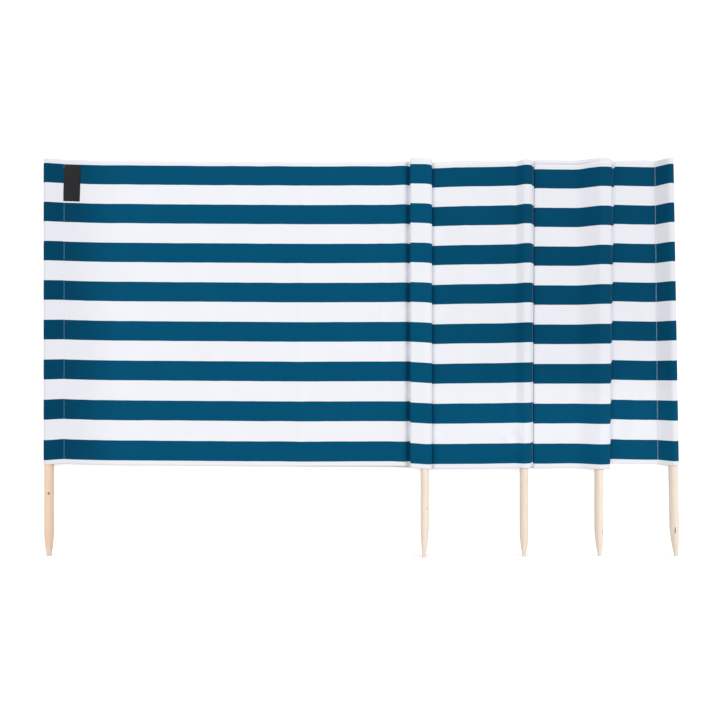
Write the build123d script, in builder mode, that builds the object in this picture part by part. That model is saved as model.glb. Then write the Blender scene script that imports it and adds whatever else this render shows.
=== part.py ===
from build123d import *
import os
from math import asin, atan2, cos, hypot, radians, sin, sqrt

# Beach windbreak: one long striped cloth carried by five wooden poles in sewn sleeves.
# The first bay is spread. The other bays are gathered: each one's spare cloth is folded
# away behind the bay before it.
# +X runs along the windbreak, the front faces -Y and the poles stand along +Z.
# The origin is the middle of the first pole's blunt foot.

# Poles
POLE_DIAMETER = 22.0
POLE_LENGTH = 1030.0
POLE_TOP_EDGE = 1.5
END_POLE_LEAN = 1.0

# Hewn points: a taper shaved by hand, so that no two are alike, trimmed flat front and back
POINT_LENGTH = 76.0
FRONT_TRIM_REACH = 3.0
FRONT_TRIM_LENGTH = 52.0
# Heights of a point's three lower sections, and each pole's radius and sideways shift there
SECTION_HEIGHTS = (0.0, 20.0, 46.0)
POINT_SECTIONS = (
    ((5.4, 0.0), (8.2, 0.0), (10.6, 0.0)),
    ((4.0, -1.6), (6.8, -1.4), (8.9, -0.9)),
    ((4.0, 0.8), (7.8, 0.4), (10.3, 0.1)),
    ((3.2, 1.5), (7.2, 1.4), (9.5, 0.4)),
    ((4.2, 3.4), (7.0, 2.4), (9.3, 1.1)),
)

# Distances from pole to pole along X
SPREAD_BAY = 986.0
SECOND_BAY = 261.0
THIRD_BAY = 198.0
FOURTH_BAY = 200.0

# Cloth
CLOTH_HEIGHT = 800.0
CLOTH_ABOVE_FOOT = 238.0
CLOTH_THICKNESS = 0.9
HEM_THICKNESS = 1.3
HEM_WIDTH = 10.0
BAY_CLOTH = 967.0

# Room between pieces
POLE_CLEARANCE = 0.3
CLOTH_CLEARANCE = 0.3
HEM_CLEARANCE = 0.2
LAYER_PITCH = 2.0

# Sleeves: how far the seam and the far edge lie from the pole's middle
FIRST_SEAM_REACH = 40.0
SECOND_SEAM_REACH = 20.0
SECOND_EDGE_REACH = 38.5
SECOND_EDGE_RADIUS = 9.0
THIRD_SEAM_REACH = 21.0
THIRD_EDGE_REACH = 36.0
FOURTH_SEAM_REACH = 28.0
FOURTH_EDGE_REACH = 28.0
LAST_SEAM_REACH = 29.0
FLAT_EDGE_RADIUS = 3.0
SEAM_DEPTH = 7.0

# A gathered bay puffs out after its first seam, then dips before the pole behind it
RISE_AFTER_SEAM = 5.0
PUFF_AFTER_SEAM = 12.0
PUFF = 3.5
THIRD_SLOPE_START = 66.0
THIRD_SLOPE_RISE = 10.0
THIRD_DIP = 36.0
THIRD_DIP_RISE = 12.5
FOURTH_DIP = 52.0
FOURTH_DIP_RISE = 2.0

# Slips of the gathered cloth down its poles
SECOND_SLEEVE_SLIP = 4.0
SECOND_BAY_SLIP = 6.0
THIRD_BAY_SLIP = 7.5

# Bare label tab sewn to the first bay
LABEL_WIDTH = 45.0
LABEL_HEIGHT = 95.0
LABEL_THICKNESS = 0.6
LABEL_BELOW_TOP = 11.0
LABEL_FROM_SEAM = 0.5
LABEL_TILT = 2.0

# Derived sizes
POLE_RADIUS = POLE_DIAMETER / 2
SLEEVE_INNER = POLE_RADIUS + POLE_CLEARANCE
SLEEVE_OUTER = SLEEVE_INNER + CLOTH_THICKNESS
LAYER_GAP = LAYER_PITCH - CLOTH_THICKNESS
WRAP_PITCH = HEM_THICKNESS + HEM_CLEARANCE
INNER_WRAP = SLEEVE_OUTER + HEM_CLEARANCE + HEM_THICKNESS / 2
OUTER_WRAP = INNER_WRAP + WRAP_PITCH

# Cloth layers counted from the back of the stack
BAY_4_OUTER, BAY_4_INNER, BAY_3_OUTER, BAY_3_INNER, BAY_2_OUTER, BAY_2_INNER, BAY_1 = range(7)


def layer_y(layer):
    """Middle of a flat cloth layer: layer 0 lies at the back of the stack."""
    return SLEEVE_OUTER - CLOTH_THICKNESS / 2 - layer * LAYER_PITCH


def pole_y(layers_behind):
    """Middle of a pole whose sleeve lies on that many cloth layers."""
    if layers_behind == 0:
        return 0.0
    return LAYER_GAP - CLOTH_CLEARANCE - layers_behind * LAYER_PITCH


POLE_X = (
    0.0,
    SPREAD_BAY,
    SPREAD_BAY + SECOND_BAY,
    SPREAD_BAY + SECOND_BAY + THIRD_BAY,
    SPREAD_BAY + SECOND_BAY + THIRD_BAY + FOURTH_BAY,
)
POLE_Y = (pole_y(0), pole_y(BAY_1 + 1), pole_y(BAY_3_OUTER + 1), pole_y(BAY_4_OUTER + 1), pole_y(0))
POLE_LEAN = (0.0, 0.0, 0.0, 0.0, END_POLE_LEAN)

SEAM_1 = POLE_X[0] + FIRST_SEAM_REACH
SEAM_2 = POLE_X[1] + SECOND_SEAM_REACH
SEAM_3 = POLE_X[2] + THIRD_SEAM_REACH
SEAM_4 = POLE_X[3] + FOURTH_SEAM_REACH
SEAM_5 = POLE_X[4] - LAST_SEAM_REACH

# A gathered bay runs back from its first seam to a fold and forward again to its next seam
FOLD_2 = (SEAM_2 + SEAM_3 - BAY_CLOTH) / 2
FOLD_3 = (SEAM_3 + SEAM_4 - BAY_CLOTH) / 2
FOLD_4 = (SEAM_4 + SEAM_5 - BAY_CLOTH) / 2


def pole_plane(number):
    """Plane at a pole's foot, square to the pole."""
    lean = radians(POLE_LEAN[number])
    foot = (POLE_X[number], POLE_Y[number], 0)
    return Plane(origin=foot, x_dir=(cos(lean), 0, sin(lean)), z_dir=(-sin(lean), 0, cos(lean)))


def lean_shift(number, height):
    """How far a leaning pole's middle has moved along X at a height."""
    return -height * sin(radians(POLE_LEAN[number])) / cos(radians(POLE_LEAN[number]))


def seam_place(number, seam, leaf):
    """Where a leaf ends at a seam beside its pole: leaf 0 is the outer one of the stack."""
    seam_y = POLE_Y[number] + SLEEVE_OUTER - SEAM_DEPTH
    return (seam - leaf * WRAP_PITCH, seam_y + leaf * WRAP_PITCH)


def tangent_point(start, centre, radius, side):
    """Point where the line from start touches a circle, on its front (-1) or back (+1) side."""
    reach = (centre[0] - start[0], centre[1] - start[1])
    distance = hypot(*reach)
    length = sqrt(distance**2 - radius**2)
    angle = atan2(reach[1], reach[0]) + side * asin(radius / distance)
    return (start[0] + length * cos(angle), start[1] + length * sin(angle))


def cloth_bands(slip):
    """Bottom, height and thickness of the lower hem, the plain cloth and the upper hem."""
    bottom = CLOTH_ABOVE_FOOT - slip
    plain = CLOTH_HEIGHT - 2 * HEM_WIDTH
    return (
        (bottom, HEM_WIDTH, HEM_THICKNESS),
        (bottom + HEM_WIDTH, plain, CLOTH_THICKNESS),
        (bottom + HEM_WIDTH + plain, HEM_WIDTH, HEM_THICKNESS),
    )


def save(part, name):
    part.label = name
    export_step(part, f"parts/{name}.step")


def trim_plane(plane, side):
    """Plane of a flat trim on the point's front (-1) or back (1), facing out of the wood."""
    slope = (POLE_RADIUS - FRONT_TRIM_REACH) / FRONT_TRIM_LENGTH
    edge = plane.from_local_coords(Vector(0, side * FRONT_TRIM_REACH, 0))
    outward = plane.from_local_coords(Vector(0, side * (FRONT_TRIM_REACH + 1), -slope)) - edge
    return Plane(origin=edge, z_dir=outward)


def make_pole(number):
    """Round pole with a hewn point and a blunt end."""
    plane = pole_plane(number)
    with BuildPart() as pole:
        for height, (radius, shift) in zip(SECTION_HEIGHTS, POINT_SECTIONS[number]):
            with BuildSketch(plane.offset(height)):
                with Locations((shift, 0)):
                    Circle(radius)
        with BuildSketch(plane.offset(POINT_LENGTH)):
            Circle(POLE_RADIUS)
        loft()
        with BuildSketch(plane.offset(POINT_LENGTH)):
            Circle(POLE_RADIUS)
        extrude(amount=POLE_LENGTH - POINT_LENGTH)
        top = pole.faces().sort_by(Axis.Z)[-1]
        chamfer(top.edges(), POLE_TOP_EDGE)
        for side in (-1, 1):
            split(bisect_by=trim_plane(plane, side), keep=Keep.BOTTOM)
    save(pole.part, f"pole_{number + 1}")


def make_sleeve(number, seam, edge=None, slip=0.0):
    """Tube of cloth round a pole, drawn in to its seam and, on a slack sleeve, to a far edge.

    seam and edge are (x, y, outer radius) of the rounds that the cloth turns about.
    """
    centre = (POLE_X[number], POLE_Y[number])
    rounds = [seam] if edge is None else [seam, edge]
    bottom = CLOTH_ABOVE_FOOT - slip
    shift = lean_shift(number, bottom)
    rise = (lean_shift(number, CLOTH_HEIGHT), 0, CLOTH_HEIGHT)
    with BuildPart() as sleeve:
        with BuildSketch(Plane.XY.offset(bottom)):
            with Locations((centre[0] + shift, centre[1])):
                Circle(SLEEVE_OUTER)
            for x, y, radius in rounds:
                with Locations((x + shift, y)):
                    Circle(radius)
            make_hull()
            offset(amount=-CLOTH_THICKNESS, mode=Mode.SUBTRACT)
        extrude(amount=hypot(*rise), dir=rise)
    save(sleeve.part, f"sleeve_{number + 1}")


def make_flat_leaf(name, layer, start, end, slip=0.0):
    """Flat stretch of cloth on one layer of the stack, with a hem along both long edges."""
    with BuildPart() as leaf:
        for bottom, height, thickness in cloth_bands(slip):
            with BuildSketch(Plane.XY.offset(bottom)):
                with BuildLine():
                    Line((start, layer_y(layer)), (end, layer_y(layer)))
                trace(line_width=thickness)
            extrude(amount=height)
    save(leaf.part, name)


def make_raised_leaf(name, layer, number, start, rise_starts, radius, seam, slip=0.0):
    """Stretch of cloth that leaves its layer, passes over a pole's front and drops to the seam."""
    centre = (POLE_X[number], POLE_Y[number])
    flat = layer_y(layer)
    rises = [(x, flat - rise) for x, rise in rise_starts]
    touch = tangent_point(rises[-1], centre, radius, -1)
    leave = tangent_point(seam, centre, radius, 1)
    with BuildPart() as leaf:
        for bottom, height, thickness in cloth_bands(slip):
            with BuildSketch(Plane.XY.offset(bottom)):
                with BuildLine():
                    Polyline((start, flat), *rises, touch)
                    ThreePointArc(touch, (centre[0], centre[1] - radius), leave)
                    Line(leave, seam)
                trace(line_width=thickness)
            extrude(amount=height)
    save(leaf.part, name)


def make_fold(name, x, back_layer, slip=0.0):
    """Round bend that joins a bay's two leaves at the fold."""
    bend = LAYER_PITCH / 2
    back = layer_y(back_layer)
    front = layer_y(back_layer + 1)
    with BuildPart() as fold:
        for bottom, height, thickness in cloth_bands(slip):
            with BuildSketch(Plane.XY.offset(bottom)):
                with BuildLine():
                    ThreePointArc((x, back), (x - bend, (back + front) / 2), (x, front))
                trace(line_width=thickness)
            extrude(amount=height)
    save(fold.part, name)


os.makedirs("parts", exist_ok=True)

for number in range(5):
    make_pole(number)

# End sleeves: the cloth's ends turned over the outer poles and stitched down
seam_round = CLOTH_THICKNESS + CLOTH_CLEARANCE / 2
make_sleeve(0, (SEAM_1 - seam_round, layer_y(BAY_1), seam_round))
make_sleeve(4, (SEAM_5 + seam_round, SLEEVE_OUTER - seam_round, seam_round))

# The second pole's sleeve lies in front of the cloth, slack towards the first bay
sleeve_2_back = POLE_Y[1] + SLEEVE_OUTER
make_sleeve(
    1,
    (SEAM_2 - seam_round, sleeve_2_back - seam_round, seam_round),
    (POLE_X[1] - SECOND_EDGE_REACH + SECOND_EDGE_RADIUS, sleeve_2_back - SECOND_EDGE_RADIUS,
     SECOND_EDGE_RADIUS),
    SECOND_SLEEVE_SLIP,
)

# The third and fourth poles' sleeves lie flat behind the gathered cloth
for number, seam, edge_reach in ((2, SEAM_3, THIRD_EDGE_REACH), (3, SEAM_4, FOURTH_EDGE_REACH)):
    back = POLE_Y[number] + SLEEVE_OUTER
    seam_x, seam_y = seam_place(number, seam, 2)
    make_sleeve(
        number,
        (seam_x - seam_round, seam_y, seam_round),
        (POLE_X[number] - edge_reach + FLAT_EDGE_RADIUS, back - FLAT_EDGE_RADIUS, FLAT_EDGE_RADIUS),
        SECOND_BAY_SLIP,
    )

# First bay, spread
make_flat_leaf("bay_1_panel", BAY_1, SEAM_1 + CLOTH_CLEARANCE, SEAM_2)

# Second bay
bend = LAYER_PITCH / 2
make_flat_leaf("bay_2_inner_leaf", BAY_2_INNER, FOLD_2 + bend, SEAM_2, SECOND_BAY_SLIP)
make_fold("bay_2_fold", FOLD_2 + bend, BAY_2_OUTER, SECOND_BAY_SLIP)
third_rises = (
    (SEAM_2 + RISE_AFTER_SEAM, 0),
    (SEAM_2 + PUFF_AFTER_SEAM, PUFF),
    (POLE_X[2] - THIRD_SLOPE_START, THIRD_SLOPE_RISE),
    (POLE_X[2] - THIRD_DIP, THIRD_DIP_RISE),
)
make_raised_leaf("bay_2_outer_leaf", BAY_2_OUTER, 2, FOLD_2 + bend, third_rises, OUTER_WRAP,
                 seam_place(2, SEAM_3, 0), SECOND_BAY_SLIP)

# Third bay
make_raised_leaf("bay_3_inner_leaf", BAY_3_INNER, 2, FOLD_3 + bend, third_rises, INNER_WRAP,
                 seam_place(2, SEAM_3, 1), THIRD_BAY_SLIP)
make_fold("bay_3_fold", FOLD_3 + bend, BAY_3_OUTER, THIRD_BAY_SLIP)
fourth_rises = (
    (SEAM_3 + RISE_AFTER_SEAM, 0),
    (SEAM_3 + PUFF_AFTER_SEAM, PUFF),
    (POLE_X[3] - FOURTH_DIP, FOURTH_DIP_RISE),
)
make_raised_leaf("bay_3_outer_leaf", BAY_3_OUTER, 3, FOLD_3 + bend, fourth_rises, OUTER_WRAP,
                 seam_place(3, SEAM_4, 0), THIRD_BAY_SLIP)

# Fourth bay
make_raised_leaf("bay_4_inner_leaf", BAY_4_INNER, 3, FOLD_4 + bend, fourth_rises, INNER_WRAP,
                 seam_place(3, SEAM_4, 1))
make_fold("bay_4_fold", FOLD_4 + bend, BAY_4_OUTER)

# The fourth bay's outer leaf ends along the leaning pole's seam
with BuildPart() as bay_4_outer_leaf:
    for bottom, height, thickness in cloth_bands(0.0):
        low = SEAM_5 - CLOTH_CLEARANCE + lean_shift(4, bottom)
        high = SEAM_5 - CLOTH_CLEARANCE + lean_shift(4, bottom + height)
        with BuildSketch(Plane.XZ.offset(-layer_y(BAY_4_OUTER) - thickness / 2)):
            with BuildLine():
                Polyline((FOLD_4 + bend, bottom), (low, bottom), (high, bottom + height),
                         (FOLD_4 + bend, bottom + height), close=True)
            make_face()
        extrude(amount=thickness)
save(bay_4_outer_leaf.part, "bay_4_outer_leaf")

# Bare label tab
label_face = layer_y(BAY_1) - CLOTH_THICKNESS / 2
label_middle = (
    SEAM_1 + LABEL_FROM_SEAM + LABEL_WIDTH / 2,
    CLOTH_ABOVE_FOOT + CLOTH_HEIGHT - LABEL_BELOW_TOP - LABEL_HEIGHT / 2,
)
with BuildPart() as label_tab:
    with BuildSketch(Plane.XZ.offset(-label_face)):
        with Locations(label_middle):
            Rectangle(LABEL_WIDTH, LABEL_HEIGHT, rotation=-LABEL_TILT)
    extrude(amount=LABEL_THICKNESS)
save(label_tab.part, "label_tab")
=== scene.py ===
import math

import bpy
import numpy as np
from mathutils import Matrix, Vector, noise


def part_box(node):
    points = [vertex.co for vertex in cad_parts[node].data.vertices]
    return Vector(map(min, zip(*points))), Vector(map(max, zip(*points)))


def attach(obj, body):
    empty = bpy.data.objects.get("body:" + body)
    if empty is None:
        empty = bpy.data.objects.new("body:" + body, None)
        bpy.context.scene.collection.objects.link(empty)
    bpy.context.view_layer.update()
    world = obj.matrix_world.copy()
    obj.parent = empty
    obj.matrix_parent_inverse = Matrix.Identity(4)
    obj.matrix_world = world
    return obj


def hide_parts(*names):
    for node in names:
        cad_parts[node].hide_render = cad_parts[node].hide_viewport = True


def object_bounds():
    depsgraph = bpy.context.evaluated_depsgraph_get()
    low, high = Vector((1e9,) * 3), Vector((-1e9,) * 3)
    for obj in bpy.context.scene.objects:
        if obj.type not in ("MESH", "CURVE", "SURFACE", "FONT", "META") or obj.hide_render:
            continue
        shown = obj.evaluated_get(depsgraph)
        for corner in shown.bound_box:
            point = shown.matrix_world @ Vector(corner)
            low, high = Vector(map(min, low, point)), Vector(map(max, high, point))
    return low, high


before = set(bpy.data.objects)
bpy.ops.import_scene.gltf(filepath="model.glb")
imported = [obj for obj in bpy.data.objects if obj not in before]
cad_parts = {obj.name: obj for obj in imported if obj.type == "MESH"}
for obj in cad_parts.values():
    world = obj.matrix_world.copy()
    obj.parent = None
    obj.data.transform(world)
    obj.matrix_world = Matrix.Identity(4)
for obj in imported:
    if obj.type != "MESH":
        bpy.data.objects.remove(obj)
cad_box = [list(corner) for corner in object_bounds()]

# Poles
# Five round stakes of bare softwood, turned, sanded and hewn to a blunt point at the foot.
# The grain runs straight along the stake, with a few small knots and a dull surface.
MM = 0.001
RING_WIDTH = 3.2 * MM
PORE_WIDTH = 0.9 * MM
TONE_PATCH = 60 * MM
# The rings and the fibres run on along the stake, so their patterns are drawn out upwards
GRAIN_SHARE = 0.05
FIBRE_SHARE = 0.02
KNOT_COLOUR = "8A5A38"


def linear(code):
    """Linear colour of an sRGB hex code."""
    parts = [int(code[i:i + 2], 16) / 255 for i in (0, 2, 4)]
    return [c / 12.92 if c <= 0.04045 else ((c + 0.055) / 1.055) ** 2.4 for c in parts] + [1.0]


def add(tree, kind, sockets=None, **settings):
    """Adds a node. A socket takes a value, or the output of another node that feeds it."""
    made = tree.nodes.new("ShaderNode" + kind)
    for name, value in settings.items():
        setattr(made, name, value)
    for name, value in (sockets or {}).items():
        if isinstance(value, bpy.types.NodeSocket):
            tree.links.new(value, made.inputs[name])
        else:
            made.inputs[name].default_value = value
    return made


def empty_material(name):
    """Material with no nodes yet."""
    made = bpy.data.materials.new(name)
    made.use_nodes = True
    made.node_tree.nodes.clear()
    return made


def sanded_softwood(name, pale, ring, knots):
    """Bare sanded pine: pale wood with darker growth rings along the stake.

    Each knot is its middle in metres, half its width and half its height.
    """
    made = empty_material(name)
    tree = made.node_tree
    place = add(tree, "TexCoord").outputs["Object"]
    along = add(tree, "Mapping", {"Vector": place, "Scale": (1, 1, GRAIN_SHARE)}).outputs[0]
    rings = add(tree, "TexWave", {
        "Vector": along, "Scale": math.tau / 20 / RING_WIDTH, "Distortion": 5.0,
        "Detail": 2.0, "Detail Scale": 0.6}, wave_type="BANDS", bands_direction="X").outputs["Fac"]
    fibre = add(tree, "Mapping", {"Vector": place, "Scale": (1, 1, FIBRE_SHARE)}).outputs[0]
    pores = add(tree, "TexNoise", {
        "Vector": fibre, "Scale": 1 / PORE_WIDTH, "Detail": 3.0, "Roughness": 0.6}).outputs["Fac"]
    tone = add(tree, "TexNoise", {
        "Vector": along, "Scale": 1 / TONE_PATCH, "Detail": 2.0}).outputs["Fac"]
    ring_part = add(tree, "MapRange", {
        "Value": rings, "From Min": 0.35, "To Max": 0.4}).outputs[0]
    pore_part = add(tree, "MapRange", {
        "Value": pores, "From Min": 0.45, "From Max": 0.75, "To Max": 0.55}).outputs[0]
    tone_part = add(tree, "MapRange", {
        "Value": tone, "From Min": 0.35, "From Max": 0.7, "To Max": 0.35}).outputs[0]
    grain = add(tree, "Math", {0: ring_part, 1: pore_part}, operation="ADD").outputs[0]
    shade = add(tree, "Math", {0: grain, 1: tone_part}, operation="ADD", use_clamp=True).outputs[0]
    colour = add(tree, "Mix", {0: shade, 6: linear(pale), 7: linear(ring)},
                 data_type="RGBA").outputs[2]
    for x, y, z, width, height in knots:
        reach = add(tree, "VectorMath", {0: place, 1: (x, y, z)}, operation="SUBTRACT").outputs[0]
        spread = add(tree, "VectorMath", {0: reach, 1: (1 / width, 0.5 / width, 1 / height)},
                     operation="MULTIPLY").outputs[0]
        distance = add(tree, "VectorMath", {0: spread}, operation="LENGTH").outputs["Value"]
        knot = add(tree, "MapRange", {
            "Value": distance, "From Min": 0.55, "From Max": 1.25, "To Min": 0.85, "To Max": 0.0},
            interpolation_type="SMOOTHSTEP").outputs[0]
        colour = add(tree, "Mix", {0: knot, 6: colour, 7: linear(KNOT_COLOUR)},
                     data_type="RGBA").outputs[2]
    roughness = add(tree, "MapRange", {
        "Value": pores, "From Min": 0.3, "From Max": 0.7, "To Min": 0.52, "To Max": 0.68}).outputs[0]
    bump = add(tree, "Bump", {"Height": grain, "Strength": 0.5, "Distance": 0.25 * MM}).outputs[0]
    finish = add(tree, "BsdfPrincipled", {
        "Base Color": colour, "Roughness": roughness, "Normal": bump, "IOR": 1.45,
        "Specular IOR Level": 0.2})
    add(tree, "OutputMaterial", {"Surface": finish.outputs[0]})
    return made


pale_pine = sanded_softwood("sanded_pine_pale", "FFF4E8", "F0D6BE", (
    (1.4506, -0.0100, 0.0668, 1.2 * MM, 4.5 * MM),
    (1.6404, -0.0105, 0.0690, 1.6 * MM, 11.0 * MM),
    (0.9900, -0.0240, 0.1310, 1.0 * MM, 2.2 * MM),
))
warm_pine = sanded_softwood("sanded_pine_warm", "FBE4CF", "E6BFA0", (
    (0.0045, -0.0100, 0.1662, 2.8 * MM, 4.0 * MM),
))
for number in range(1, 6):
    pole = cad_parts[f"pole_{number}"]
    pole.data.materials.clear()
    pole.data.materials.append(warm_pine if number == 1 else pale_pine)

# Striped cloth
# One long strip of plain-woven canvas with dyed blue and white stripes along its length.
# Both long edges are turned back and hemmed, and the cloth is dull with a faint sheen.
CLOTH_THICKNESS = 0.4
CLOTH_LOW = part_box("bay_1_panel")[0].z / MM
CLOTH_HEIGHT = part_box("bay_1_panel")[1].z / MM - CLOTH_LOW
HEM_WIDTH = 10.0
HEM_STEP = 0.45
HEM_STITCH = 8.0
HEM_THREAD = 0.3
STITCH_STEP = 3.6
STITCH_SHARE = 0.82
# Stripes: the rise is how far they stand too high halfway up, and the drift how fast that falls
# off from there, in metres per square metre
PITCH = 103.4
BLUE_BAND = 51.6
TOP_MARGIN = 10.8
STRIPE_RISE = 2.9
STRIPE_DRIFT = 0.03125
STRIPE_WAVER = 0.6
WAVER_LENGTH = 45 * MM
BAND_BLUR = 0.3
# Plain weave at its real thread spacing, and yarn slubs drawn coarser than real so that they show
THREAD_SPACING = 0.7 * MM
SLUB_WIDTH = 1.6 * MM
SLUB_LENGTH = 70 * MM
MOTTLE_PATCH = 90 * MM
# Places in metres where the painted shade by the first pole, and the darker upper half of the
# gathered bays, start and end
SHADE_BY_FIRST_POLE = (0.04, 0.2)
DARKER_IN_GATHERS = (1.0, 1.3)
DARKER_UP_GATHERS = (0.36, 0.56)
GATHERS_START = 1.007
# Each colour of the canvas at its darkest and at its lightest, and the hems' thread
DARKEST_BLUE, LIGHTEST_BLUE = "02415F", "045376"
DARKEST_WHITE, LIGHTEST_WHITE = "E9EAF1", "F5F6FB"
HEM_THREAD_COLOUR = "DCE1EA"


def woven_canvas():
    """Striped canvas: place on the flat cloth in metres, u along it and v up from its lower edge."""
    made = empty_material("woven_striped_canvas")
    tree = made.node_tree
    flat = add(tree, "UVMap", uv_map="cloth").outputs[0]
    axes = add(tree, "SeparateXYZ", {0: flat})
    along, up = axes.outputs[0], axes.outputs[1]

    # Stripes: how far a point lies from the middle of the nearest blue band
    middle = (CLOTH_HEIGHT - TOP_MARGIN - BLUE_BAND / 2) * MM
    waver = add(tree, "TexNoise", {"Vector": flat, "Scale": 1 / WAVER_LENGTH, "Detail": 1.0})
    wavered = add(tree, "MapRange", {
        "Value": waver.outputs["Fac"], "To Min": -STRIPE_WAVER * MM,
        "To Max": STRIPE_WAVER * MM}).outputs[0]
    # The stripes run off their even pitch: high halfway up the cloth, and low near its edges
    halfway = add(tree, "Math", {0: up, 1: CLOTH_HEIGHT / 2 * MM}, operation="SUBTRACT").outputs[0]
    square = add(tree, "Math", {0: halfway, 1: halfway}, operation="MULTIPLY").outputs[0]
    drift = add(tree, "Math", {0: square, 1: STRIPE_DRIFT, 2: -STRIPE_RISE * MM},
                operation="MULTIPLY_ADD").outputs[0]
    printed = add(tree, "Math", {0: up, 1: drift}, operation="ADD").outputs[0]
    raised = add(tree, "Math", {0: printed, 1: wavered}, operation="ADD").outputs[0]
    from_middle = add(tree, "Math", {0: raised, 1: middle}, operation="SUBTRACT").outputs[0]
    distance = add(tree, "Math", {0: from_middle, 1: PITCH / 2 * MM},
                   operation="PINGPONG").outputs[0]
    blue = add(tree, "MapRange", {
        "Value": distance, "From Min": (BLUE_BAND / 2 - BAND_BLUR) * MM,
        "From Max": (BLUE_BAND / 2 + BAND_BLUR) * MM, "To Min": 1.0, "To Max": 0.0}).outputs[0]

    # Yarns: thick and thin places along both sets of threads
    warp_place = add(tree, "Mapping", {
        "Vector": flat, "Scale": (1 / SLUB_LENGTH, 1 / SLUB_WIDTH, 1)}).outputs[0]
    warp = add(tree, "TexNoise", {"Vector": warp_place, "Scale": 1.0, "Detail": 2.0})
    weft_place = add(tree, "Mapping", {
        "Vector": flat, "Scale": (1 / SLUB_WIDTH, 1 / SLUB_LENGTH, 1)}).outputs[0]
    weft = add(tree, "TexNoise", {"Vector": weft_place, "Scale": 1.0, "Detail": 2.0})
    slubs = add(tree, "Math", {0: warp.outputs["Fac"], 1: weft.outputs["Fac"]}, operation="ADD")
    mottle = add(tree, "TexNoise", {"Vector": flat, "Scale": 1 / MOTTLE_PATCH, "Detail": 3.0})
    patchy = add(tree, "MapRange", {
        "Value": mottle.outputs["Fac"], "To Min": -0.22, "To Max": 0.22}).outputs[0]
    streaky = add(tree, "MapRange", {
        "Value": slubs.outputs[0], "From Max": 2.0, "To Min": -0.3, "To Max": 0.3}).outputs[0]
    uneven = add(tree, "Math", {0: patchy, 1: streaky}, operation="ADD").outputs[0]

    # Painted shade: the end by the first pole is drawn darker where the lamps' light falls off, and
    # the upper half of the gathered bays is drawn darker too
    body = add(tree, "SeparateXYZ", {0: add(tree, "TexCoord").outputs["Object"]})
    end = add(tree, "MapRange", {
        "Value": body.outputs[0], "From Min": SHADE_BY_FIRST_POLE[0],
        "From Max": SHADE_BY_FIRST_POLE[1], "To Min": 0.05, "To Max": 0.85},
        interpolation_type="SMOOTHSTEP").outputs[0]
    gathered = add(tree, "MapRange", {
        "Value": body.outputs[0], "From Min": DARKER_IN_GATHERS[0],
        "From Max": DARKER_IN_GATHERS[1], "To Min": 0.25, "To Max": 0.55},
        interpolation_type="SMOOTHSTEP").outputs[0]
    beyond = add(tree, "Math", {0: body.outputs[0], 1: GATHERS_START},
                 operation="GREATER_THAN").outputs[0]
    upper = add(tree, "MapRange", {
        "Value": body.outputs[2], "From Min": DARKER_UP_GATHERS[0],
        "From Max": DARKER_UP_GATHERS[1]}, interpolation_type="SMOOTHSTEP").outputs[0]
    # The upper half of the gathered bays is drawn darker
    upper_darkening = add(tree, "Math", {0: gathered, 1: beyond}, operation="MULTIPLY").outputs[0]
    upper_darkening = add(tree, "Math", {0: upper_darkening, 1: upper}, operation="MULTIPLY").outputs[0]
    # Painted shade at the first pole's end, less the darker upper half of the gathered bays
    painted_shade_and_tone = add(tree, "Math", {0: end, 1: upper_darkening}, operation="SUBTRACT").outputs[0]
    shade = add(tree, "Math", {0: painted_shade_and_tone, 1: uneven}, operation="ADD", use_clamp=True).outputs[0]
    dyed = add(tree, "Mix", {0: shade, 6: linear(DARKEST_BLUE), 7: linear(LIGHTEST_BLUE)},
               data_type="RGBA").outputs[2]
    undyed = add(tree, "Mix", {0: shade, 6: linear(DARKEST_WHITE), 7: linear(LIGHTEST_WHITE)},
                 data_type="RGBA").outputs[2]
    cloth = add(tree, "Mix", {0: blue, 6: undyed, 7: dyed}, data_type="RGBA").outputs[2]

    # Plain weave: each thread goes over one crossing thread and under the next
    warp_wave = add(tree, "Math", {0: up, 1: math.tau / 2 / THREAD_SPACING}, operation="MULTIPLY")
    weft_wave = add(tree, "Math", {0: along, 1: math.tau / 2 / THREAD_SPACING},
                    operation="MULTIPLY")
    warp_crown = add(tree, "Math", {0: warp_wave.outputs[0]}, operation="SINE").outputs[0]
    weft_crown = add(tree, "Math", {0: weft_wave.outputs[0]}, operation="SINE").outputs[0]
    weave = add(tree, "Math", {0: warp_crown, 1: weft_crown}, operation="MULTIPLY").outputs[0]

    # Hem: a row of stitches near each long edge, with a gap between one stitch and the next
    edge = add(tree, "Math", {0: up, 1: CLOTH_HEIGHT / 2 * MM}, operation="SUBTRACT").outputs[0]
    edge = add(tree, "Math", {0: edge}, operation="ABSOLUTE").outputs[0]
    row = add(tree, "Math", {
        0: edge, 1: (CLOTH_HEIGHT / 2 - HEM_STITCH) * MM, 2: HEM_THREAD * MM},
        operation="COMPARE").outputs[0]
    step = add(tree, "Math", {0: along, 1: STITCH_STEP * MM}, operation="DIVIDE").outputs[0]
    step = add(tree, "Math", {0: step}, operation="FRACT").outputs[0]
    laid = add(tree, "Math", {0: step, 1: STITCH_SHARE}, operation="LESS_THAN").outputs[0]
    stitch = add(tree, "Math", {0: row, 1: laid}, operation="MULTIPLY").outputs[0]
    colour = add(tree, "Mix", {0: stitch, 6: cloth, 7: linear(HEM_THREAD_COLOUR)},
                 data_type="RGBA").outputs[2]

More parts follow.
